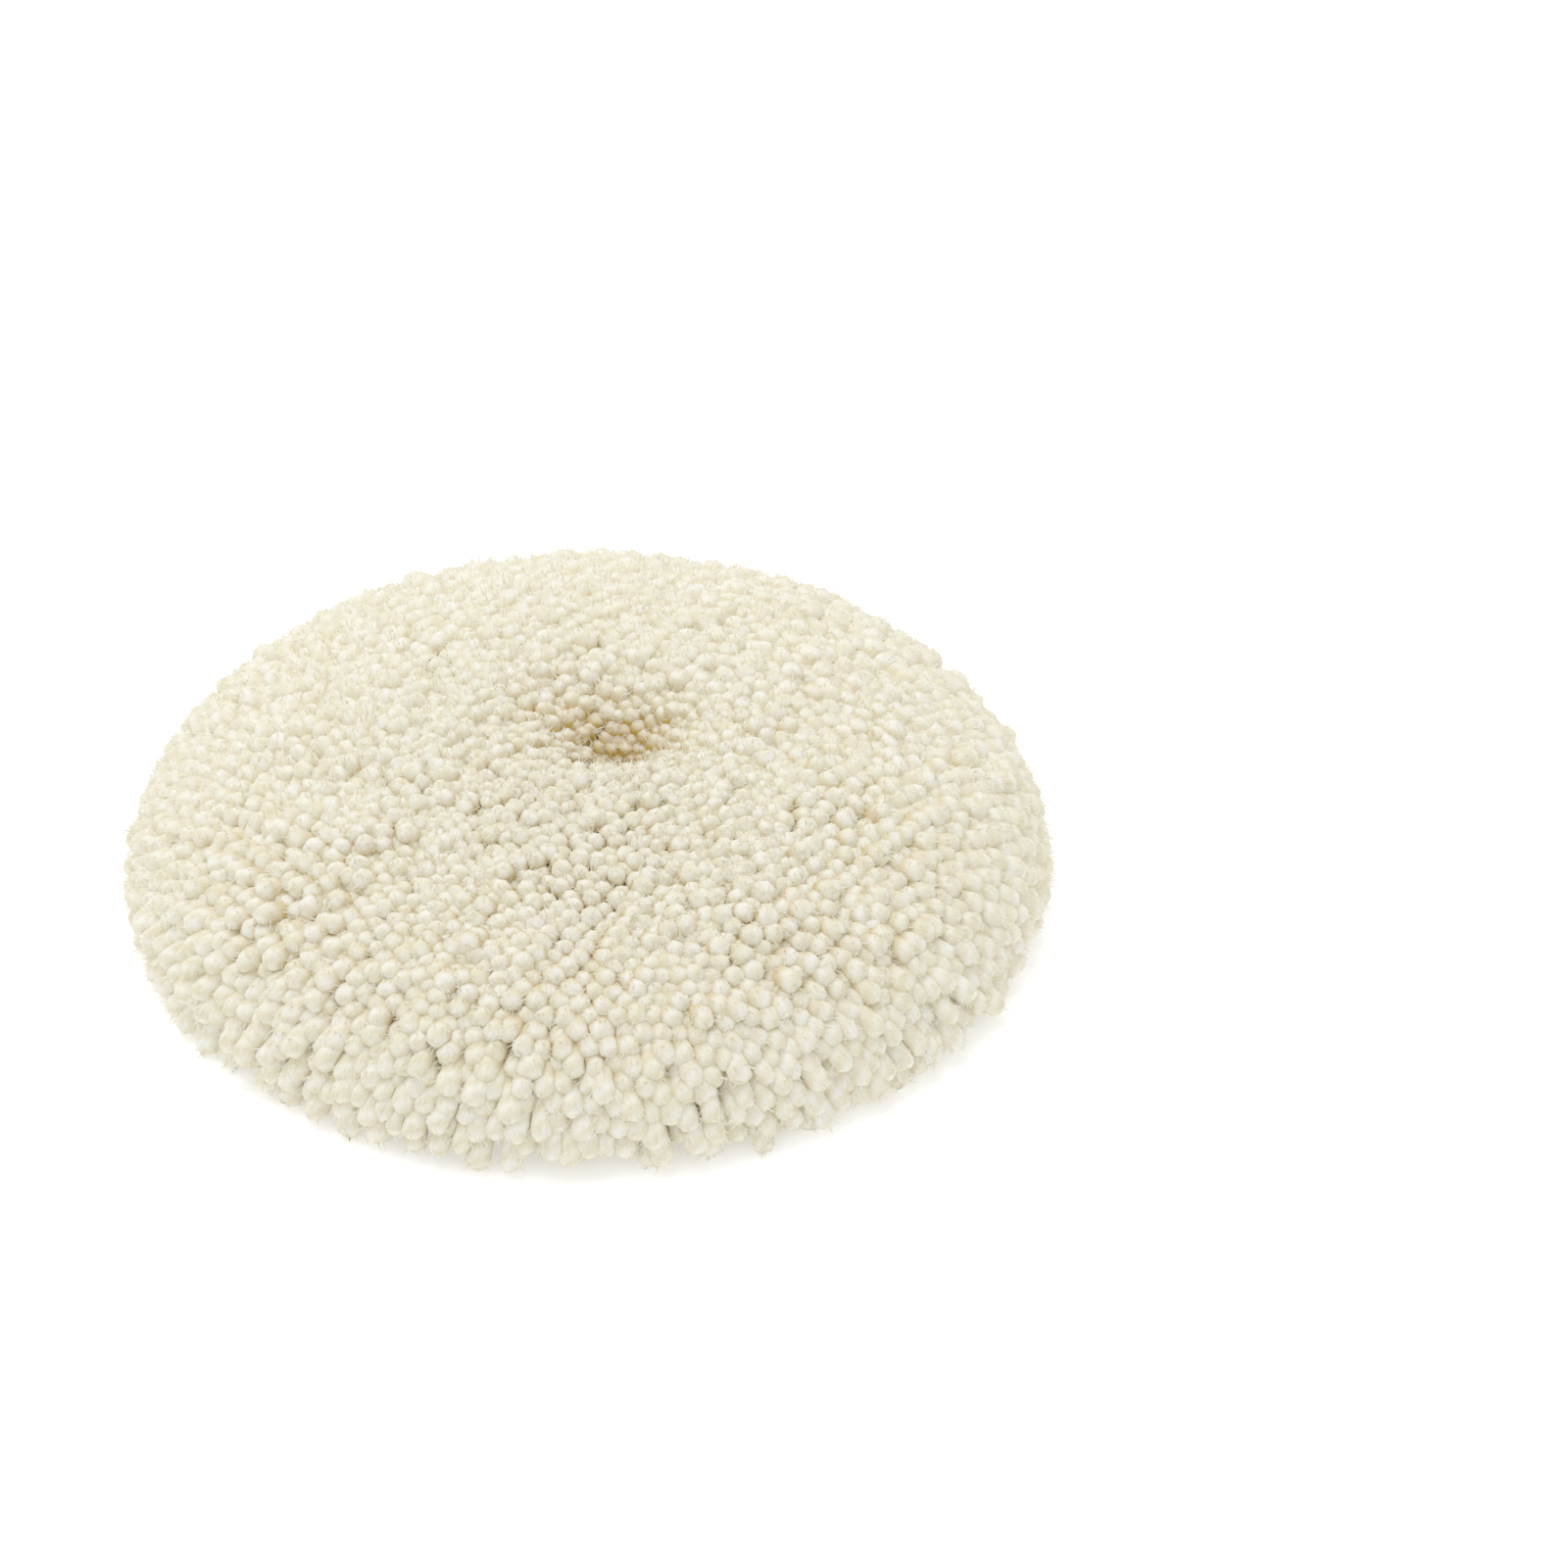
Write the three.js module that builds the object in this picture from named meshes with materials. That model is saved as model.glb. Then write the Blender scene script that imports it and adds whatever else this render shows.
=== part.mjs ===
// A tufted wool polishing pad for a rotary car polisher, with a hook-and-loop back.
//
// Twisted wool yarn is tufted in straight rows through a woven base cloth, and its ends are cut to one
// length. Latex locks the roots. A foam interface and a brushed loop fabric are laminated underneath with a
// hot-melt film, and one lockstitch seam at the rim and one round the centre hole hold the layers together.
// The yarn stands straight over the middle, fans outwards near the edge and falls over the rim as a skirt.
//
// Millimetres, +Z up. The origin is on the pad's axis, in the face of the loop fabric that it lies on.
import * as THREE from "three";

// Driving dimensions
const BACKING_RADIUS = 79; // the laminated disc
const PILE_ROOT_RADIUS = 78; // the outermost yarn roots
const HOLE_RADIUS = 6; // centre hole, for the spigot of a backing plate
const YARN_LENGTH = 25; // cut length above the base cloth
const TUFT_GAUGE = 3.97; // 5/32 inch between rows of tufts
const ROWS_EACH_SIDE = 19; // rows in front of the middle row, and as many behind it
const CLEARANCE = 0.3; // between pieces that touch

// How far the yarn leans from upright, in degrees, at the rim: at its root and at its cut end
const RIM_ROOT_LEAN = 80;
const RIM_END_LEAN = 145;
const ROOT_LEAN_POWER = 8; // the roots lean only close to the rim
const END_LEAN_POWER = 2.7; // the ends lean from half way out

// Layers from the bottom up, each lying on the one before
const LAYERS = [
  { name: "loop_fabric", thickness: 1.8, radius: BACKING_RADIUS, groove: "below" },
  { name: "hot_melt_film", thickness: 0.5, radius: BACKING_RADIUS - 1 },
  { name: "interface_foam", thickness: 4, radius: BACKING_RADIUS },
  { name: "latex_coat", thickness: 0.7, radius: BACKING_RADIUS - 0.5 },
  { name: "base_cloth", thickness: 1.2, radius: BACKING_RADIUS, groove: "above" },
];
const SEAMS = [
  { name: "rim_seam", radius: 74.5, segments: 60 },
  { name: "hole_seam", radius: 9, segments: 24 },
];
const THREAD_RADIUS = 0.3;
const THREAD_SIDES = 6;
const GROOVE_HALF_WIDTH = THREAD_RADIUS + CLEARANCE;
const GROOVE_DEPTH = 2 * THREAD_RADIUS + CLEARANCE / 2;
const DISC_SEGMENTS = 60;

const STEPS_ALONG_ROW = 10;
const STEPS_UP_YARN = 4;
const LEAN_STEPS = 24; // steps of the sum that follows one yarn from root to end

const COLOURS = {
  wool: 0xefe9d3,
  loop: 0xe9e7e0,
  film: 0xd8d4c4,
  foam: 0xe6dcb4,
  latex: 0xcfc7a6,
  cloth: 0xd9cfae,
  thread: 0xf4f2ea,
};

const radians = THREE.MathUtils.degToRad;

function finish(color, roughness) {
  return new THREE.MeshStandardMaterial({ color, roughness, metalness: 0 });
}

const FINISHES = {
  loop_fabric: finish(COLOURS.loop, 0.95),
  hot_melt_film: finish(COLOURS.film, 0.5),
  interface_foam: finish(COLOURS.foam, 0.95),
  latex_coat: finish(COLOURS.latex, 0.6),
  base_cloth: finish(COLOURS.cloth, 0.9),
};
const WOOL = finish(COLOURS.wool, 0.95);
const THREAD = finish(COLOURS.thread, 0.7);

const pad = new THREE.Group();

function add(name, geometry, material) {
  const mesh = new THREE.Mesh(geometry, material);
  mesh.name = name;
  pad.add(mesh);
  return mesh;
}

// A flat ring turned round +Z, with a groove for each seam's thread in one of its faces.
function turnedLayer(bottom, top, radius, groove) {
  const below = [];
  const above = [];
  const seams = [...SEAMS].sort((a, b) => a.radius - b.radius);
  for (const seam of seams) {
    const inner = seam.radius - GROOVE_HALF_WIDTH;
    const outer = seam.radius + GROOVE_HALF_WIDTH;
    if (groove === "below") {
      const roof = bottom + GROOVE_DEPTH;
      below.push([inner, bottom], [inner, roof], [outer, roof], [outer, bottom]);
    }
    if (groove === "above") {
      const floor = top - GROOVE_DEPTH;
      above.unshift([outer, top], [outer, floor], [inner, floor], [inner, top]);
    }
  }
  const outline = [
    [HOLE_RADIUS, bottom],
    ...below,
    [radius, bottom],
    [radius, top],
    ...above,
    [HOLE_RADIUS, top],
    [HOLE_RADIUS, bottom],
  ];
  const points = outline.map(([r, z]) => new THREE.Vector2(r, z));
  return new THREE.LatheGeometry(points, DISC_SEGMENTS).rotateX(Math.PI / 2);
}

// The five layers, and the two threads of each seam: the bobbin thread lies in the loop fabric's groove and
// the needle thread in the base cloth's, level with the face. Returns the height of the cloth's upper face.
function addBacking() {
  let z = 0;
  for (const layer of LAYERS) {
    const top = z + layer.thickness;
    add(layer.name, turnedLayer(z, top, layer.radius, layer.groove), FINISHES[layer.name]);
    if (layer.groove) {
      const threadZ = layer.groove === "below" ? z + THREAD_RADIUS : top - THREAD_RADIUS;
      const thread = layer.groove === "below" ? "bobbin_thread" : "needle_thread";
      for (const seam of SEAMS) {
        const ring = new THREE.TorusGeometry(seam.radius, THREAD_RADIUS, THREAD_SIDES, seam.segments);
        add(`${seam.name}_${thread}`, ring.translate(0, 0, threadZ), THREAD);
      }
    }
    z = top + CLEARANCE;
  }
  return z - CLEARANCE;
}

// Where a yarn rooted at (x, y) on the base cloth is, at a share of its length from root to end.
// It bends in the upright plane through the pad's axis, its lean changing evenly along it.
function alongYarn(x, y, share, rootZ) {
  const rootRadius = Math.hypot(x, y);
  const out = rootRadius / PILE_ROOT_RADIUS;
  const rootLean = radians(RIM_ROOT_LEAN) * out ** ROOT_LEAN_POWER;
  const endLean = radians(RIM_END_LEAN) * out ** END_LEAN_POWER;
  let radius = rootRadius;
  let z = rootZ;
  const step = (YARN_LENGTH * share) / LEAN_STEPS;
  for (let i = 0; i < LEAN_STEPS; i += 1) {
    const lean = rootLean + ((endLean - rootLean) * share * (i + 0.5)) / LEAN_STEPS;
    radius += step * Math.sin(lean);
    z += step * Math.cos(lean);
  }
  const scale = radius / rootRadius;
  return [x * scale, y * scale, z];
}

// Half the length of the chord at y across a circle, or 0 outside it.
function halfChord(radius, y) {
  return Math.sqrt(Math.max(0, radius ** 2 - y ** 2));
}

// One row of yarn as a closed solid: a grid of steps along the row and up the yarn, on the row's front face
// and on its back face. part is "whole", or "left" or "right" for a row that the centre hole cuts in two.
function rowGeometry(rowY, part, rootZ) {
  const first = part === "right" ? 0 : -1;
  const last = part === "left" ? 0 : 1;
  const steps = (STEPS_ALONG_ROW * (last - first)) / 2;
  const halfWidth = (TUFT_GAUGE - CLEARANCE) / 2;
  const positions = [];
  const corners = [];
  const at = (along, up, face) => (along * (STEPS_UP_YARN + 1) + up) * 2 + face;
  const quad = (a, b, c, d) => corners.push(a, b, c, a, c, d);
  for (let along = 0; along <= steps; along += 1) {
    const turn = ((first + ((last - first) * along) / steps) * Math.PI) / 2;
    for (let up = 0; up <= STEPS_UP_YARN; up += 1) {
      for (const y of [rowY - halfWidth, rowY + halfWidth]) {
        let x = halfChord(PILE_ROOT_RADIUS, y) * Math.sin(turn);
        if (part === "left") x = Math.min(x, -halfChord(HOLE_RADIUS, y));
        if (part === "right") x = Math.max(x, halfChord(HOLE_RADIUS, y));
        positions.push(...alongYarn(x, y, up / STEPS_UP_YARN, rootZ));
      }
    }
  }
  for (let up = 0; up < STEPS_UP_YARN; up += 1) {
    for (let along = 0; along < steps; along += 1) {
      const [nearLow, nearHigh] = [at(along, up, 0), at(along, up + 1, 0)];
      const [nextLow, nextHigh] = [at(along + 1, up, 0), at(along + 1, up + 1, 0)];
      quad(nearLow, nextLow, nextHigh, nearHigh);
      quad(nextHigh + 1, nextLow + 1, nearLow + 1, nearHigh + 1);
    }
    quad(at(0, up, 1), at(0, up, 0), at(0, up + 1, 0), at(0, up + 1, 1));
    quad(at(steps, up, 0), at(steps, up, 1), at(steps, up + 1, 1), at(steps, up + 1, 0));
  }
  for (let along = 0; along < steps; along += 1) {
    const top = STEPS_UP_YARN;
    quad(at(along, 0, 1), at(along + 1, 0, 1), at(along + 1, 0, 0), at(along, 0, 0));
    quad(at(along, top, 0), at(along + 1, top, 0), at(along + 1, top, 1), at(along, top, 1));
  }
  const geometry = new THREE.BufferGeometry();
  geometry.setAttribute("position", new THREE.Float32BufferAttribute(positions, 3));
  geometry.setIndex(corners);
  geometry.computeVertexNormals();
  return geometry;
}

// The rows of tufts, numbered from front to back.
function addPile(rootZ) {
  for (let row = -ROWS_EACH_SIDE; row <= ROWS_EACH_SIDE; row += 1) {
    const y = row * TUFT_GAUGE;
    const name = `tuft_row_${String(row + ROWS_EACH_SIDE + 1).padStart(2, "0")}`;
    const cutByHole = Math.abs(y) + TUFT_GAUGE / 2 < HOLE_RADIUS;
    if (cutByHole) {
      add(`${name}_left`, rowGeometry(y, "left", rootZ), WOOL);
      add(`${name}_right`, rowGeometry(y, "right", rootZ), WOOL);
    } else {
      add(name, rowGeometry(y, "whole", rootZ), WOOL);
    }
  }
}

const clothTop = addBacking();
addPile(clothTop + CLEARANCE);

export default pad;
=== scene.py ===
# A tufted wool polishing pad, put together from its loop-fabric face upwards and shown lying pile up.
# Every size is in millimetres until a mesh is finished, and is turned to metres there.
import math

import bpy
import numpy as np
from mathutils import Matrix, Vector
from mathutils.kdtree import KDTree


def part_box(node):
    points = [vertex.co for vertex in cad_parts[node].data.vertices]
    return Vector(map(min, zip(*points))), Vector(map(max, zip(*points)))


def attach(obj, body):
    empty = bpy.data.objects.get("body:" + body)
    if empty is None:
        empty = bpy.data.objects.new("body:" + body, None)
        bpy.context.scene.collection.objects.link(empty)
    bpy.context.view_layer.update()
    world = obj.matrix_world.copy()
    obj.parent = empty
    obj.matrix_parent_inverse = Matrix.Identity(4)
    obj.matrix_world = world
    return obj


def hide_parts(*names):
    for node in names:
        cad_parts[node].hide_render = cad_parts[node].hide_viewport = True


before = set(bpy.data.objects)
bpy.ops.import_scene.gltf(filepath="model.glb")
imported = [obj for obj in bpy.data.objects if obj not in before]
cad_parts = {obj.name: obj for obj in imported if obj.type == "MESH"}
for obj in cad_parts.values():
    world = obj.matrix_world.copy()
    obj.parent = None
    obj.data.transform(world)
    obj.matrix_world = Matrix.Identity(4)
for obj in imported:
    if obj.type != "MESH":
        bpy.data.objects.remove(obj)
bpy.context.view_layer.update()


# Loop fabric: the face that grips a backing plate's hooks. A brushed polyester knit, cut as a disc with a
# centre hole. Its ground lies against the film, and its loops hang below.
MM = 0.001
HOLE_RADIUS = 6.0
DISC_SIDES = 120


def size_of(node):
    """The lowest height, highest height and outer radius of a node, in millimetres."""
    low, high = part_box(node)
    return low.z / MM, high.z / MM, high.x / MM


def linear(hex_colour):
    """An sRGB hex colour as linear red, green, blue and alpha."""
    parts = [int(hex_colour[i:i + 2], 16) / 255 for i in (1, 3, 5)]
    parts = [c / 12.92 if c <= 0.04045 else ((c + 0.055) / 1.055) ** 2.4 for c in parts]
    return (*parts, 1.0)


def add_node(tree, kind, inputs=None, **settings):
    """A node with its settings, and each input set to a value or linked to an output."""
    node = tree.nodes.new(kind)
    for name, value in settings.items():
        setattr(node, name, value)
    for name, value in (inputs or {}).items():
        if isinstance(value, bpy.types.NodeSocket):
            tree.links.new(value, node.inputs[name])
        else:
            node.inputs[name].default_value = value
    return node


def new_material(name, **sockets):
    """A material, its node tree and its shader, with uniform values on the shader's own sockets."""
    material = bpy.data.materials.new(name)
    material.use_nodes = True
    shader = material.node_tree.nodes["Principled BSDF"]
    for socket, value in sockets.items():
        shader.inputs[socket.replace("_", " ")].default_value = value
    return material, material.node_tree, shader


def two_colours(tree, factor, dark, light, low=0.3, high=0.7):
    """A colour that runs from dark to light as factor goes from low to high."""
    ramp = add_node(tree, "ShaderNodeValToRGB", {"Fac": factor})
    ramp.color_ramp.elements[0].position = low
    ramp.color_ramp.elements[0].color = linear(dark)
    ramp.color_ramp.elements[1].position = high
    ramp.color_ramp.elements[1].color = linear(light)
    return ramp.outputs["Color"]


def waves_every(period):
    """The scale at which a wave texture on metre coordinates repeats every period, in millimetres."""
    return math.tau / 20 / (period * MM)


def finish_piece(piece, nodes, material):
    """Gives a finished mesh its material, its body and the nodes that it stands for."""
    piece.data.materials.clear()
    piece.data.materials.append(material)
    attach(piece, "root")
    if nodes:
        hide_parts(*nodes)


def ring_disc(name, outer, bottom, top, steps, rounding):
    """A flat disc with the centre hole, drawn out from the hole's edge, thickened and rounded."""
    bpy.ops.object.select_all(action="DESELECT")
    middle = (bottom + top) / 2 * MM
    bpy.ops.mesh.primitive_circle_add(
        vertices=DISC_SIDES, radius=HOLE_RADIUS * MM, location=(0, 0, middle)
    )
    disc = bpy.context.object
    disc.name = name
    bpy.ops.object.mode_set(mode="EDIT")
    bpy.ops.mesh.select_all(action="SELECT")
    radius = HOLE_RADIUS
    for step in range(1, steps + 1):
        wider = HOLE_RADIUS + (outer - HOLE_RADIUS) * step / steps
        bpy.ops.mesh.extrude_region_move()
        share = wider / radius
        bpy.ops.transform.resize(value=(share, share, 1), center_override=(0, 0, middle))
        radius = wider
    bpy.ops.object.mode_set(mode="OBJECT")
    bpy.ops.object.transform_apply(location=True, rotation=True, scale=True)
    solidify = disc.modifiers.new("Thickness", "SOLIDIFY")
    solidify.thickness = (top - bottom) * MM
    solidify.offset = 0
    bpy.ops.object.modifier_apply(modifier=solidify.name)
    bevel = disc.modifiers.new("Rounded edge", "BEVEL")
    bevel.width = rounding * MM
    bevel.segments = 2
    bevel.limit_method = "ANGLE"
    bpy.ops.object.modifier_apply(modifier=bevel.name)
    bpy.ops.object.mode_set(mode="EDIT")
    bpy.ops.mesh.select_all(action="SELECT")
    bpy.ops.mesh.normals_make_consistent(inside=False)
    bpy.ops.object.mode_set(mode="OBJECT")
    bpy.ops.object.shade_smooth_by_angle(angle=math.radians(40))
    return disc


KNIT_GROUND = 0.8  # thickness of the ground, of the fabric's whole thickness
LOOP_SPACING = 2.0  # real loops are finer: drawn this coarse so that they show
COURSE_SCALE = 1 / 6  # wave texture scale for loops one unit apart: courses 1.9 loops apart
LOOP_RADIUS = 0.55
LOOP_YARN = 0.15
IN_FILM = 0.2  # how far the ground sinks into the film

bottom, top, radius = size_of("loop_fabric")
knit = ring_disc("loop_fabric_ground", radius, top - KNIT_GROUND, top + IN_FILM, 16, 0.25)

# Polyester knit, brushed: matt, off-white, with the courses of the knit as fine ridges.
knit_material, tree, shader = new_material("polyester_knit_brushed", Roughness=0.9, Sheen_Weight=0.25)
place = add_node(tree, "ShaderNodeTexCoord")
courses = add_node(tree, "ShaderNodeTexWave", {"Vector": place.outputs["Object"],
                                               "Scale": COURSE_SCALE / (LOOP_SPACING * MM),
                                               "Distortion": 1.5, "Detail": 1.0})
tint = two_colours(tree, courses.outputs["Fac"], "#d8d3c4", "#eae7dc")
tree.links.new(tint, shader.inputs["Base Color"])
ridges = add_node(tree, "ShaderNodeBump", {"Height": courses.outputs["Fac"], "Strength": 0.4,
                                           "Distance": 0.2 * MM})
tree.links.new(ridges.outputs["Normal"], shader.inputs["Normal"])
finish_piece(knit, ["loop_fabric"], knit_material)


def drawn_rod(name, sides, radius, steps):
    """A rod drawn out of a small disc. Each step is (move, scale): how far its end face moves and how much
    it grows. Returns points in mm and faces."""
    bpy.ops.object.select_all(action="DESELECT")
    bpy.ops.mesh.primitive_circle_add(vertices=sides, radius=radius, fill_type="NGON", location=(0, 0, 0))
    rod = bpy.context.object
    rod.name = name
    bpy.ops.object.mode_set(mode="EDIT")
    bpy.ops.mesh.select_all(action="SELECT")
    centre = Vector((0, 0, 0))
    for move, scale in steps:
        centre = centre + Vector(move)
        bpy.ops.mesh.extrude_region_move(TRANSFORM_OT_translate={"value": move})
        bpy.ops.transform.resize(value=(scale, scale, 1), center_override=centre)
    bpy.ops.mesh.select_all(action="SELECT")
    bpy.ops.mesh.normals_make_consistent(inside=False)
    bpy.ops.object.mode_set(mode="OBJECT")
    points = np.array([v.co for v in rod.data.vertices])
    faces = [list(f.vertices) for f in rod.data.polygons]
    bpy.data.objects.remove(rod)
    return points, faces


def piece_from(name, clouds, faces_of_each, attributes):
    """One mesh of many copies. Each cloud is (copies, points, 3) in mm, and every copy in it has the same
    faces. attributes maps a name to an array for each cloud. Only the first cloud is shaded smooth."""
    groups = list(zip(clouds, faces_of_each))
    points = np.concatenate([cloud.reshape(-1, 3) for cloud, _ in groups])
    faces = []
    smooth = []
    start = 0
    for cloud, one in groups:
        copies, count = cloud.shape[0], cloud.shape[1]
        for face in one:
            corners = np.array(face)[None, :] + start + count * np.arange(copies)[:, None]
            faces.extend(corners.tolist())
            smooth.extend([start == 0] * copies)
        start += copies * count
    mesh = bpy.data.meshes.new(name)
    mesh.from_pydata((points * MM).tolist(), [], faces)
    for key, values in attributes.items():
        flat = np.concatenate([np.asarray(v).reshape(-1) for v in values]).astype(np.float32)
        if len(flat) == len(points):
            mesh.attributes.new(key, "FLOAT", "POINT").data.foreach_set("value", flat)
        else:
            mesh.attributes.new(key, "FLOAT_VECTOR", "POINT").data.foreach_set("vector", flat)
    mesh.polygons.foreach_set("use_smooth", smooth)
    mesh.update()
    piece = bpy.data.objects.new(name, mesh)
    bpy.context.collection.objects.link(piece)
    return piece


# Loops of the fabric: each is a bent end of filament, an arc that leaves the ground and returns to it. One
# arc is drawn, and copies stand all over the face, turned at random as brushing leaves them.
ARC_STEPS = 5
LOOP_JITTER = 0.35
SUNK_IN_GROUND = 0.05
arc_step = ((0, 0, math.pi * LOOP_RADIUS / ARC_STEPS), 1.0)
rod_points, loop_faces = drawn_rod("loop", 3, LOOP_YARN, [arc_step] * ARC_STEPS)
turn = rod_points[:, 2] / LOOP_RADIUS
away = LOOP_RADIUS + rod_points[:, 0]
loop_points = np.stack([-away * np.cos(turn), rod_points[:, 1], -away * np.sin(turn)], axis=1)

random = np.random.default_rng(11)
steps = int(radius / LOOP_SPACING)
grid = np.arange(-steps, steps + 1) * LOOP_SPACING
xs, ys = np.meshgrid(grid, grid)
xs = xs + (np.round(ys / LOOP_SPACING) % 2) * LOOP_SPACING / 2
spots = np.stack([xs.ravel(), ys.ravel()], axis=1)
spots = spots + random.uniform(-LOOP_JITTER, LOOP_JITTER, spots.shape)
reach = np.hypot(spots[:, 0], spots[:, 1])
spots = spots[(reach > HOLE_RADIUS + 1.0) & (reach < radius - 1.2)]
angles = random.uniform(0, math.tau, len(spots))
cos, sin = np.cos(angles)[:, None], np.sin(angles)[:, None]
x = cos * loop_points[None, :, 0] - sin * loop_points[None, :, 1] + spots[:, 0:1]
y = sin * loop_points[None, :, 0] + cos * loop_points[None, :, 1] + spots[:, 1:2]
z = np.broadcast_to(loop_points[None, :, 2] + top - KNIT_GROUND + SUNK_IN_GROUND, x.shape)
cloud = np.stack([x, y, z], axis=2)
shade = np.broadcast_to(random.uniform(0, 1, (len(spots), 1)), x.shape)
loops = piece_from("loop_fabric_loops", [cloud], [loop_faces], {"shade": [shade]})

# Polyester filament, heat-set: off-white with a slight gloss, each loop a little different.
loop_material, tree, shader = new_material("polyester_filament_heat_set", Roughness=0.6, Sheen_Weight=0.2)
random_tint = add_node(tree, "ShaderNodeAttribute", attribute_name="shade")
tree.links.new(
    two_colours(tree, random_tint.outputs["Fac"], "#dcd8cb", "#f0ede4", 0, 1), shader.inputs["Base Color"]
)
finish_piece(loops, [], loop_material)


# Hot-melt film: a translucent adhesive sheet, melted between the loop fabric and the foam in a press. Only
# its edge shows.
BONDED = 0.05  # how far one layer goes into the next
bottom, top, radius = size_of("hot_melt_film")
film = ring_disc("hot_melt_film_layer", radius, bottom - BONDED, top + BONDED, 6, 0.15)
film_material, tree, shader = new_material(
    "hot_melt_adhesive_pressed", Roughness=0.35, Subsurface_Weight=0.3, IOR=1.49
)
place = add_node(tree, "ShaderNodeTexCoord")
flow = add_node(tree, "ShaderNodeTexNoise", {"Vector": place.outputs["Object"], "Scale": 1 / (8 * MM)})
tree.links.new(two_colours(tree, flow.outputs["Fac"], "#cdc6ae", "#ddd8c6"), shader.inputs["Base Color"])
finish_piece(film, ["hot_melt_film"], film_material)


# Interface foam: a disc of open-cell polyurethane that lets the pad follow a curved panel. It is cut from
# sheet, so its edge shows cut cells.
FOAM_CELL = 0.9
bottom, top, radius = size_of("interface_foam")
foam = ring_disc("interface_foam_layer", radius, bottom - BONDED, top + BONDED, 10, 0.4)
foam_material, tree, shader = new_material("polyurethane_foam_cut", Roughness=0.95, Subsurface_Weight=0.15)
place = add_node(tree, "ShaderNodeTexCoord")
cells = add_node(tree, "ShaderNodeTexVoronoi", {"Vector": place.outputs["Object"],
                                                "Scale": 1 / (FOAM_CELL * MM)})
# Painted shade: the colour darkens into the pit of each cell, where the bump sinks
tree.links.new(
    two_colours(tree, cells.outputs["Distance"], "#b9a877", "#e6dcb4", 0.0, 0.5), shader.inputs["Base Color"]
)
pits = add_node(tree, "ShaderNodeBump", {"Height": cells.outputs["Distance"], "Strength": 0.8,
                                         "Distance": 0.3 * MM})
tree.links.new(pits.outputs["Normal"], shader.inputs["Normal"])
finish_piece(foam, ["interface_foam"], foam_material)


# Latex coat: spread over the back of the tufted cloth and cured, so that it locks the roots of the yarn.
bottom, top, radius = size_of("latex_coat")
latex = ring_disc("latex_coat_layer", radius, bottom - BONDED, top + BONDED, 8, 0.2)
latex_material, tree, shader = new_material("latex_knife_coated", Roughness=0.5, Subsurface_Weight=0.2)
place = add_node(tree, "ShaderNodeTexCoord")
ripple = add_node(tree, "ShaderNodeTexNoise", {"Vector": place.outputs["Object"], "Scale": 1 / (3 * MM),
                                               "Detail": 3.0})
tree.links.new(two_colours(tree, ripple.outputs["Fac"], "#bfb48c", "#d2c9a6"), shader.inputs["Base Color"])
skin = add_node(tree, "ShaderNodeBump", {"Height": ripple.outputs["Fac"], "Strength": 0.3,
                                         "Distance": 0.15 * MM})
tree.links.new(skin.outputs["Normal"], shader.inputs["Normal"])
finish_piece(latex, ["latex_coat"], latex_material)


# Base cloth: plain-woven cotton that the yarn is tufted through. It shows in partings of the pile and down
# the centre hole.
CLOTH_THREAD = 0.8
bottom, top, radius = size_of("base_cloth")
cloth_top = top
cloth = ring_disc("base_cloth_layer", radius, bottom - BONDED, top, 12, 0.3)
cloth_material, tree, shader = new_material("cotton_plain_woven", Roughness=0.9, Sheen_Weight=0.15)
place = add_node(tree, "ShaderNodeTexCoord")
warp = add_node(tree, "ShaderNodeTexWave", {"Vector": place.outputs["Object"],
                                            "Scale": waves_every(CLOTH_THREAD)},
                bands_direction="X")
weft = add_node(tree, "ShaderNodeTexWave", {"Vector": place.outputs["Object"],
                                            "Scale": waves_every(CLOTH_THREAD)},
                bands_direction="Y")
weave = add_node(tree, "ShaderNodeMath", operation="MULTIPLY")
tree.links.new(warp.outputs["Fac"], weave.inputs[0])
tree.links.new(weft.outputs["Fac"], weave.inputs[1])
tree.links.new(
    two_colours(tree, weave.outputs["Value"], "#a8935c", "#d9cfae", 0.0, 0.6), shader.inputs["Base Color"]
)
threads = add_node(tree, "ShaderNodeBump", {"Height": weave.outputs["Value"], "Strength": 0.6,
                                            "Distance": 0.2 * MM})
tree.links.new(threads.outputs["Normal"], shader.inputs["Normal"])
finish_piece(cloth, ["base_cloth"], cloth_material)


# Seams: a lockstitch at the rim and one round the hole go through every layer. The needle thread shows as
# stitches on the base cloth, and the bobbin thread as stitches on the loop fabric.
STITCH_LENGTH = 3.0
STITCH_GAP = 0.25
STITCH_TAPER = [0.75, 1.3, 1.02, 1.0, 0.98, 0.75]
THREAD_FLATTENED = 0.85
STITCH_DIP = 0.35  # how far each end of a stitch goes into the layer

thread_material, tree, shader = new_material("polyester_thread_bonded", Roughness=0.55, Sheen_Weight=0.1)
stitch_place = add_node(tree, "ShaderNodeAttribute", attribute_name="stitch")
plies = add_node(tree, "ShaderNodeTexWave", {"Vector": stitch_place.outputs["Vector"], "Scale": 0.6},
                 bands_direction="DIAGONAL")
tree.links.new(two_colours(tree, plies.outputs["Fac"], "#dcd8ca", "#f4f2ea"), shader.inputs["Base Color"])
twist = add_node(tree, "ShaderNodeBump", {"Height": plies.outputs["Fac"], "Strength": 0.5,
                                          "Distance": 0.08 * MM})
tree.links.new(twist.outputs["Normal"], shader.inputs["Normal"])

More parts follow.
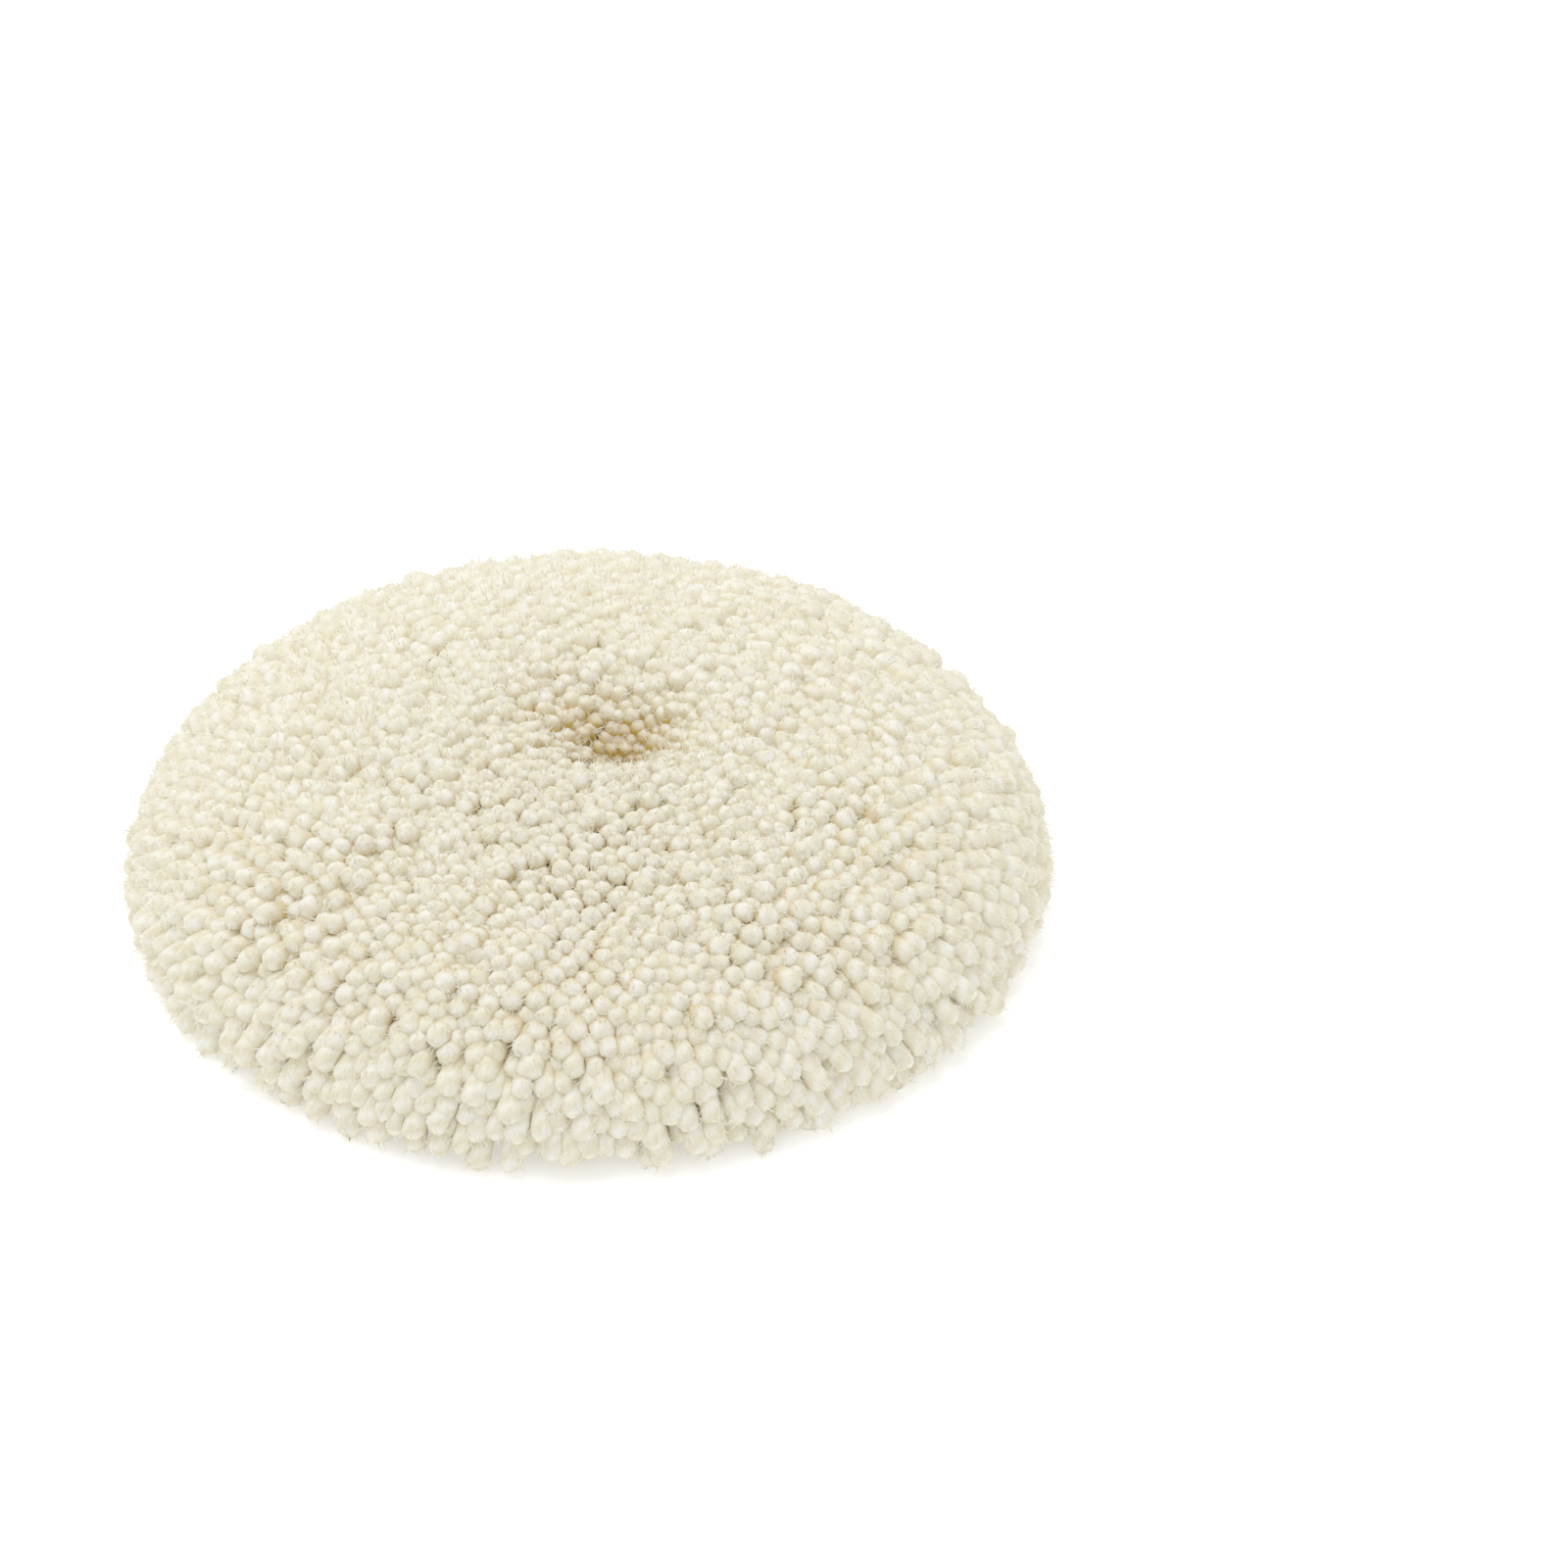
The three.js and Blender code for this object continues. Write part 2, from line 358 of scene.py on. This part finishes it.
for node in ("rim_seam_bobbin_thread", "rim_seam_needle_thread",
             "hole_seam_bobbin_thread", "hole_seam_needle_thread"):
    bottom, top, outer = size_of(node)
    thread_radius = (top - bottom) / 2
    seam_radius = outer - thread_radius
    count = round(math.tau * seam_radius / STITCH_LENGTH)
    length = math.tau * seam_radius / count - STITCH_GAP
    draw = [((0, 0, length / len(STITCH_TAPER)), scale) for scale in STITCH_TAPER]
    rod_points, stitch_faces = drawn_rod("stitch", 6, thread_radius, draw)
    along = rod_points[:, 2] - length / 2
    sink = STITCH_DIP * (2 * np.abs(along) / length) ** 4
    inward = 1 if "bobbin" in node else -1
    angle = np.arange(count)[:, None] * math.tau / count + along[None, :] / seam_radius
    away = seam_radius + rod_points[None, :, 0]
    height = (bottom + top) / 2 + rod_points[None, :, 1] * THREAD_FLATTENED + inward * sink[None, :]
    height = np.broadcast_to(height, angle.shape)
    cloud = np.stack([away * np.cos(angle), away * np.sin(angle), height], axis=2)
    straight = np.broadcast_to(rod_points[None, :, :], cloud.shape)
    stitches = piece_from(f"{node}_stitches", [cloud], [stitch_faces], {"stitch": [straight]})
    finish_piece(stitches, [node], thread_material)


# Tufts: soft two-ply wool yarn, tufted in rows and cut to one length. Each stitch leaves two ends, one each
# side of its row. They stand over the middle, fan out near the edge and fall over the rim as a skirt.
YARN_LENGTH = 25.0
PILE_ROOT_RADIUS = 78.0
TUFT_GAUGE = 3.97
ROWS_EACH_SIDE = 19
STITCH_PITCH = 3.0
RIM_ROOT_LEAN = math.radians(80)
RIM_END_LEAN = math.radians(145)
ROOT_LEAN_POWER = 8
END_LEAN_POWER = 2.2
TUFT_SIDES = 8
TUFT_RADIUS = 1.7
# Stations up the yarn: share of its length, and width there as a share of the full width. It fills out above
# the cloth, and its cut end blooms and closes in a round.
STATIONS = [(0.0, 0.7), (0.42, 1.16), (0.66, 1.25), (0.9, 1.26), (0.952, 1.12), (0.984, 0.74), (0.997, 0.3)]

shares = np.array([share for share, _ in STATIONS])
widths = np.array([width for _, width in STATIONS])
draw = []
for before, after in zip(STATIONS, STATIONS[1:]):
    draw.append(((0, 0, (after[0] - before[0]) * YARN_LENGTH), after[1] / before[1]))
tuft_points, tuft_faces = drawn_rod("tuft", TUFT_SIDES, TUFT_RADIUS * widths[0], draw)
station = np.abs(tuft_points[:, 2:3] / YARN_LENGTH - shares[None, :]).argmin(axis=1)


def leaned(out, share):
    """How far a yarn rooted at a share of the pile's radius leans at a share of its own length."""
    root_lean = RIM_ROOT_LEAN * out ** ROOT_LEAN_POWER
    end_lean = RIM_END_LEAN * out ** END_LEAN_POWER
    return root_lean + (end_lean - root_lean) * share


# The two ends of every stitch, set out on the cloth
random = np.random.default_rng(5)
END_JITTER = 0.2
END_OFFSET = 0.25  # of the pitch along the row, and of the gauge across it
CLEAR_OF_HOLE = 0.9
stitches_each_side = int(PILE_ROOT_RADIUS / STITCH_PITCH) + 1
rows, stitch, side = np.meshgrid(
    np.arange(-ROWS_EACH_SIDE, ROWS_EACH_SIDE + 1),
    np.arange(-stitches_each_side, stitches_each_side + 1),
    [-END_OFFSET, END_OFFSET],
)
roots = np.stack([(stitch + side).ravel() * STITCH_PITCH, (rows + side).ravel() * TUFT_GAUGE], axis=1)
roots = roots + random.normal(0, END_JITTER, roots.shape)
reach = np.hypot(roots[:, 0], roots[:, 1])
kept = (reach > HOLE_RADIUS + CLEAR_OF_HOLE) & (reach < PILE_ROOT_RADIUS)
row_of = rows.ravel()[kept]
roots = roots[kept]
reach = reach[kept]
out = reach / PILE_ROOT_RADIUS
outward = roots / reach[:, None]

# How much further apart the ends are than the roots, for each root radius, and so how thick each yarn swells
FINE_STEPS = 30
probe = np.linspace(1, PILE_ROOT_RADIUS, 400)
end_radius = probe.copy()
end_height = np.zeros_like(probe)
for k in range(FINE_STEPS):
    lean = leaned(probe / PILE_ROOT_RADIUS, (k + 0.5) / FINE_STEPS)
    end_radius += YARN_LENGTH / FINE_STEPS * np.sin(lean)
    end_height += YARN_LENGTH / FINE_STEPS * np.cos(lean)
along_face = np.hypot(np.gradient(end_radius, probe), np.gradient(end_height, probe))
spread = np.sqrt(along_face * end_radius / probe)
spacing = math.sqrt(STITCH_PITCH * TUFT_GAUGE / 2) * np.interp(reach, probe, spread)
# How squarely each end meets the face: upright over the middle, and almost flat along it at the rim
end_lean = leaned(probe / PILE_ROOT_RADIUS, 1.0)
squareness = (np.cos(end_lean) * np.gradient(end_radius, probe)
              - np.sin(end_lean) * np.gradient(end_height, probe)) / along_face
square_to_face = np.clip(np.interp(reach, probe, squareness), 0.05, 1.0)
SWELL = 0.6  # yarn radius to spacing: a yarn swells into the room that it has
THINNEST = 1.5
THICKEST = 2.05
stout = np.clip(SWELL * spacing, THINNEST, THICKEST) / TUFT_RADIUS
# The far half has been brushed, so its ends have opened and close up against each other
BRUSHED_OPEN = 0.22
BRUSHED_FROM = -8.0
BRUSHED_BLEND = 12.0
brushed = 1 / (1 + np.exp((BRUSHED_FROM - roots[:, 1]) / BRUSHED_BLEND))

# Handling leaves the pile combed in slow swirls: seeded waves, strongest over the middle
SWIRL = 0.085
SWIRL_WAVES = 9
STRAY = 0.03
swirl = np.zeros_like(roots)
for _ in range(SWIRL_WAVES):
    wavelength = random.uniform(28, 75)
    heading = random.uniform(0, math.tau)
    phase = random.uniform(0, math.tau)
    push = random.uniform(0, math.tau)
    wave = np.sin(math.tau / wavelength * (roots @ [math.cos(heading), math.sin(heading)]) + phase)
    swirl += SWIRL * wave[:, None] * np.array([math.cos(push), math.sin(push)])
swirl *= (1 - 0.5 * out ** 4)[:, None]
swirl += random.normal(0, STRAY, roots.shape)
# Over the rim, yarns bunch into locks a few yarns wide, wider in some places than in others
LOCK_COUNT = 90
LOCK_PULL = 0.14
LOCK_DRIFT = 3
DRIFT_TURNS = 5
azimuth = np.arctan2(roots[:, 1], roots[:, 0])
lock_phase = LOCK_COUNT * azimuth + LOCK_DRIFT * np.sin(DRIFT_TURNS * azimuth)
bunching = np.sin(lock_phase) * LOCK_PULL * out ** 6
swirl += bunching[:, None] * np.stack([-outward[:, 1], outward[:, 0]], axis=1)
# The ends behind the hole are worn short and lean together, which leaves a bowl in the pile. The ends in
# front of it keep their length and are combed back over the hole.
BOWL_CENTRE = np.array([4.0, 9.0])
BOWL_RADIUS = 13.5
BOWL_SHORTENED = 0.6
BOWL_INWARD = 0.12
COMBED_BACK = np.array([0.12, 0.28])
COMBED_RADIUS = 27.0
LENGTH_SPREAD = 0.026
from_bowl = roots - BOWL_CENTRE
bowl_reach = np.hypot(from_bowl[:, 0], from_bowl[:, 1])
in_bowl = np.exp(-((bowl_reach / BOWL_RADIUS) ** 2))
stout *= 1 + BRUSHED_OPEN * brushed * (1 - in_bowl)
swirl -= from_bowl / np.maximum(bowl_reach, 1.0)[:, None] * (BOWL_INWARD * in_bowl)[:, None]
swirl += COMBED_BACK * np.exp(-((reach / COMBED_RADIUS) ** 2))[:, None]
length = YARN_LENGTH * (1 + random.normal(0, LENGTH_SPREAD, len(roots))) * (1 - BOWL_SHORTENED * in_bowl)

ROOT_SWIRL = 0.35  # the swirl at a yarn's root, of that at its end
path = np.zeros((len(roots), FINE_STEPS + 1, 3))
path[:, 0, :2] = roots
path[:, 0, 2] = cloth_top
for k in range(FINE_STEPS):
    share = (k + 0.5) / FINE_STEPS
    lean = leaned(out, share)
    heading = np.zeros((len(roots), 3))
    heading[:, :2] = outward * np.sin(lean)[:, None] + swirl * (ROOT_SWIRL + (1 - ROOT_SWIRL) * share)
    heading[:, 2] = np.cos(lean)
    heading /= np.linalg.norm(heading, axis=1)[:, None]
    path[:, k + 1] = path[:, k] + heading * (length / FINE_STEPS)[:, None]

# Ends that crowd each other are pushed apart, until neighbours touch and no more
ROUNDS = 18
WIDEST = 3.9
ROOM = 1.02  # of the even spacing
GIVE = 0.35  # of each overlap, in one round
LARGEST_SHIFT = 0.6
want = np.minimum(ROOM * spacing, WIDEST)
tips = path[:, -1].copy()
for _ in range(ROUNDS):
    tree_of_tips = KDTree(len(tips))
    for index, tip in enumerate(tips):
        tree_of_tips.insert(tip, index)
    tree_of_tips.balance()
    shift = np.zeros_like(tips)
    for index, tip in enumerate(tips):
        for found, other, distance in tree_of_tips.find_range(tip, WIDEST):
            wanted = (want[index] + want[other]) / 2
            if other != index and distance < wanted:
                shift[index] += (tip - np.array(found)) / distance * (wanted - distance) * GIVE
    tips += np.clip(shift, -LARGEST_SHIFT, LARGEST_SHIFT)
tip_shift = tips - path[:, -1]

fine = np.linspace(0, 1, FINE_STEPS + 1)
line = np.zeros((len(roots), len(shares), 3))
for axis in range(3):
    for tuft in range(len(roots)):
        line[tuft, :, axis] = np.interp(shares, fine, path[tuft, :, axis])
line += tip_shift[:, None, :] * (shares ** 2)[None, :, None]
SKIRT_HEIGHT = 0.9  # the skirt rests on what the pad lies on, and is pressed flat there
LOWEST = 0.05
line[:, :, 2] = np.maximum(line[:, :, 2], SKIRT_HEIGHT)

forward = np.gradient(line, axis=1)
forward /= np.linalg.norm(forward, axis=2)[:, :, None]
sideways = np.zeros_like(line)
sideways[:, :, 0] = -outward[:, None, 1]
sideways[:, :, 1] = outward[:, None, 0]
sideways -= (sideways * forward).sum(axis=2)[:, :, None] * forward
sideways /= np.linalg.norm(sideways, axis=2)[:, :, None]
across = np.cross(forward, sideways)

STOUT_SPREAD = 0.06
spin = random.uniform(0, math.tau, len(roots))
stout = stout * (1 + random.normal(0, STOUT_SPREAD, len(roots)))
# No two ends are cut or bloom alike, so every point of every yarn is moved a little
UNEVEN = 0.13
u = tuft_points[None, :, 0] * np.cos(spin)[:, None] - tuft_points[None, :, 1] * np.sin(spin)[:, None]
v = tuft_points[None, :, 0] * np.sin(spin)[:, None] + tuft_points[None, :, 1] * np.cos(spin)[:, None]
u = u * stout[:, None]
v = v * stout[:, None]
tufts = line[:, station] + u[:, :, None] * across[:, station] + v[:, :, None] * sideways[:, station]
tufts += random.normal(0, UNEVEN, tufts.shape)
tufts[:, :, 2] = np.maximum(tufts[:, :, 2], LOWEST)
tuft_tint = random.uniform(0, 1, len(roots))
# Depth below the face of the pile, which sets the painted shade: down the yarn where it stands, and round
# its under side where it lies
UNDER_SIDE = 0.6
HIDDEN_BY_BRUSHING = 0.4
OPEN_BELOW = 0.72
OPEN_FROM = 0.86
OPEN_BLEND = 0.1
down = (YARN_LENGTH - tuft_points[None, :, 2]) * square_to_face[:, None]
under_side_shade = UNDER_SIDE * (np.hypot(u, v) - u) * (1 - square_to_face)[:, None]
painted_shade_depth = (down + under_side_shade) / YARN_LENGTH
# The brushed ends close up, so less painted shade shows down between them
painted_shade_depth *= (1 - HIDDEN_BY_BRUSHING * brushed * (1 - in_bowl))[:, None]
# The outermost yarns are open to the light from below as well, so they get less painted shade
painted_shade_depth *= 1 - OPEN_BELOW * np.clip((out - OPEN_FROM) / OPEN_BLEND, 0, 1)[:, None]

# Loose fibres stand out of each end: fine tapers, three-sided, one shape copied and turned
FIBRES = 20
FIBRE_RADIUS = 0.15  # real fibre is far finer: one of these stands for a wisp, so that it shows
FIBRE_DROOP = 0.6
FIBRE_DEEP = 0.9  # each starts a little inside the yarn's surface
FIBRE_TINT = 0.8
fibre_points, fibre_faces = drawn_rod("fibre", 3, 1.0, [((0, 0, 0.5), 0.8), ((0, 0, 0.5), 0.15)])
fibre_share = random.uniform(0.76, 1.0, (len(roots), FIBRES))
fibre_at = np.abs(fibre_share[:, :, None] - shares[None, None, :]).argmin(axis=2)
pick = np.arange(len(roots))[:, None]
base = line[pick, fibre_at]
along = forward[pick, fibre_at]
around = random.uniform(0, math.tau, fibre_share.shape)
radial = (sideways[pick, fibre_at] * np.sin(around)[:, :, None]
          + across[pick, fibre_at] * np.cos(around)[:, :, None])
surface = base + radial * (TUFT_RADIUS * FIBRE_DEEP * widths[fibre_at] * stout[:, None])[:, :, None]
aim = radial + along * random.uniform(0.7, 2.0, fibre_share.shape)[:, :, None]
aim /= np.linalg.norm(aim, axis=2)[:, :, None]
bend = np.cross(aim, radial)
bend /= np.maximum(np.linalg.norm(bend, axis=2), 1e-6)[:, :, None]
third = np.cross(aim, bend)
fibre_length = random.uniform(0.9, 2.3, fibre_share.shape)
droop = random.normal(0, FIBRE_DROOP, fibre_share.shape)
w = fibre_points[None, None, :, 2] * fibre_length[:, :, None]
curl = droop[:, :, None] * fibre_points[None, None, :, 2] ** 2
fibres = (surface[:, :, None, :] + w[..., None] * aim[:, :, None, :]
          + (fibre_points[None, None, :, 0] * FIBRE_RADIUS + curl)[..., None] * bend[:, :, None, :]
          + (fibre_points[None, None, :, 1] * FIBRE_RADIUS)[..., None] * third[:, :, None, :])
fibres[..., 2] = np.maximum(fibres[..., 2], LOWEST)

# Wool yarn, spun, twisted and steamed, undyed: a matt cream with fine fibres that follow the twist. The
# warmer colour down in the pile and in the bowl is painted shade, for the shade there and the light that has
# passed through more wool.
wool_material, tree, shader = new_material(
    "wool_yarn_twisted", Roughness=0.95, Sheen_Weight=0.2, Sheen_Roughness=0.6, Specular_IOR_Level=0.1,
    Sheen_Tint=linear("#f4e6b4")
)
yarn = add_node(tree, "ShaderNodeAttribute", attribute_name="yarn")
height = add_node(tree, "ShaderNodeAttribute", attribute_name="height")
tint = add_node(tree, "ShaderNodeAttribute", attribute_name="tint")
# Painted shade: tan where the height attribute is low, down in the pile, and cream at the open face
painted_depth_shade = two_colours(tree, height.outputs["Fac"], "#cfab4e", "#fcfaf0", 0.862, 0.967)
warmer = two_colours(tree, tint.outputs["Fac"], "#f7f4e2", "#ffffff", 0.0, 1.0)
blend_tint = add_node(tree, "ShaderNodeMix", data_type="RGBA", blend_type="MULTIPLY")
blend_tint.inputs["Factor"].default_value = 0.6
tree.links.new(painted_depth_shade, blend_tint.inputs[6])
tree.links.new(warmer, blend_tint.inputs[7])
# Two plies wind round each other: a ridge each side of the yarn that turns as it rises
PLY_CROSSING = 3.5
PLY_RELIEF = 0.16
parts = add_node(tree, "ShaderNodeSeparateXYZ", {"Vector": yarn.outputs["Vector"]})
angle = add_node(tree, "ShaderNodeMath", operation="ARCTAN2")
tree.links.new(parts.outputs["Y"], angle.inputs[0])
tree.links.new(parts.outputs["X"], angle.inputs[1])
twice = add_node(tree, "ShaderNodeMath", operation="MULTIPLY")
tree.links.new(angle.outputs["Value"], twice.inputs[0])
twice.inputs[1].default_value = 2.0
wound = add_node(tree, "ShaderNodeMath", operation="MULTIPLY_ADD")
tree.links.new(parts.outputs["Z"], wound.inputs[0])
wound.inputs[1].default_value = math.tau / PLY_CROSSING
tree.links.new(twice.outputs["Value"], wound.inputs[2])
ridge = add_node(tree, "ShaderNodeMath", operation="SINE")
tree.links.new(wound.outputs["Value"], ridge.inputs[0])
# Fibres lie along the yarn, so their pattern is drawn out lengthwise
lengthwise = add_node(tree, "ShaderNodeMapping", {"Vector": yarn.outputs["Vector"],
                                                  "Scale": (1.0, 1.0, 0.35)})
strands = add_node(tree, "ShaderNodeTexNoise", {"Vector": lengthwise.outputs["Vector"], "Scale": 2.4,
                                                "Detail": 4.0, "Roughness": 0.65})
relief = add_node(tree, "ShaderNodeMath", operation="MULTIPLY_ADD")
tree.links.new(ridge.outputs["Value"], relief.inputs[0])
relief.inputs[1].default_value = PLY_RELIEF
tree.links.new(strands.outputs["Fac"], relief.inputs[2])
# Painted shade: the colour turns tan down in the ply grooves and in the low places of the strands, where the
# bump sinks
groove_shade = two_colours(tree, relief.outputs["Value"], "#e0d4a8", "#ffffff", 0.25, 0.72)
painted_groove_shade = add_node(tree, "ShaderNodeMix", data_type="RGBA", blend_type="MULTIPLY")
painted_groove_shade.inputs["Factor"].default_value = 0.55
tree.links.new(blend_tint.outputs[2], painted_groove_shade.inputs[6])
tree.links.new(groove_shade, painted_groove_shade.inputs[7])
tree.links.new(painted_groove_shade.outputs[2], shader.inputs["Base Color"])
nap = add_node(tree, "ShaderNodeBump", {"Height": relief.outputs["Value"], "Strength": 0.7,
                                        "Distance": 0.4 * MM})
tree.links.new(nap.outputs["Normal"], shader.inputs["Normal"])

BOWL_PAINTED_SHADE = 0.064  # how far the bowl takes on the colour of the depth of the pile
for node in [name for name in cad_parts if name.startswith("tuft_row_")]:
    row = int(node.split("_")[2]) - ROWS_EACH_SIDE - 1
    members = row_of == row
    if node.endswith("_left"):
        members &= roots[:, 0] < 0
    if node.endswith("_right"):
        members &= roots[:, 0] >= 0
    mine = tufts[members]
    loose = fibres[members].reshape(-1, len(fibre_points), 3)
    pattern = np.repeat(tuft_points[None], len(mine), axis=0)
    pattern[:, :, 2] += random.uniform(0, 500, (len(mine), 1))
    # Painted shade in the bowl: its yarns take on more of the warm painted shade of the depth of the pile
    bowl_shading = 1 - BOWL_PAINTED_SHADE * in_bowl[members]
    unshaded_tuft = (1 - painted_shade_depth[members]) * bowl_shading[:, None]
    unshaded_fibre = np.broadcast_to(np.repeat(bowl_shading, FIBRES)[:, None], loose.shape[:2])
    tint_tuft = np.broadcast_to(tuft_tint[members][:, None], mine.shape[:2])
    tint_fibre = np.full(loose.shape[:2], FIBRE_TINT)
    # The height attribute carries the painted shade: it is lower where the shade is deeper
    piece = piece_from(
        f"{node}_yarn", [mine, loose], [tuft_faces, fibre_faces],
        {"yarn": [pattern, loose], "height": [unshaded_tuft, unshaded_fibre], "tint": [tint_tuft, tint_fibre]},
    )
    finish_piece(piece, [node], wool_material)


# Where the pad lies: a plain pale table under soft studio light, seen from the front and a third of the way
# up.
CAMERA_DISTANCE = 1.12
CAMERA_RISE = math.radians(38)
AIM = (0.0424, 0.0, 0.0233)  # beside and above the pad, so that it lies left of and below the middle

bpy.ops.object.select_all(action="DESELECT")
bpy.ops.mesh.primitive_plane_add(size=40, location=(0, 0, -0.0002))
table = bpy.context.object
table.name = "table"
table_material, tree, shader = new_material(
    "paper_sweep_white", Roughness=0.9, Emission_Color=(1, 1, 1, 1), Emission_Strength=0.28
)
place = add_node(tree, "ShaderNodeTexCoord")
tooth = add_node(tree, "ShaderNodeTexNoise", {"Vector": place.outputs["Object"], "Scale": 40.0})
tree.links.new(two_colours(tree, tooth.outputs["Fac"], "#f8f8f7", "#fbfbfa"), shader.inputs["Base Color"])
table.data.materials.append(table_material)

world = bpy.data.worlds.new("studio")
bpy.context.scene.world = world
world.use_nodes = True
world.node_tree.nodes["Background"].inputs["Color"].default_value = (1, 1, 1, 1)
world.node_tree.nodes["Background"].inputs["Strength"].default_value = 0.7

for name, place, size, power in (
    ("key", (-0.3, 0.4, 1.4), 1.0, 9.0),
    ("fill", (0.9, -0.9, 0.8), 1.2, 0.2),
):
    light = bpy.data.objects.new(name, bpy.data.lights.new(name, "AREA"))
    light.data.size = size
    light.data.energy = power
    light.location = place
    light.rotation_euler = (-Vector(place)).to_track_quat("-Z", "Y").to_euler()
    bpy.context.collection.objects.link(light)

camera = bpy.data.objects.new("camera", bpy.data.cameras.new("camera"))
bpy.context.collection.objects.link(camera)
camera.data.sensor_width = 36
camera.data.lens = 119
aim = Vector(AIM)
back = Vector((0, -math.cos(CAMERA_RISE), math.sin(CAMERA_RISE)))
camera.location = aim + back * CAMERA_DISTANCE
camera.rotation_euler = (-back).to_track_quat("-Z", "Y").to_euler()
bpy.context.scene.camera = camera
bpy.context.scene.view_settings.view_transform = "Standard"
bpy.context.scene.view_settings.gamma = 1.35
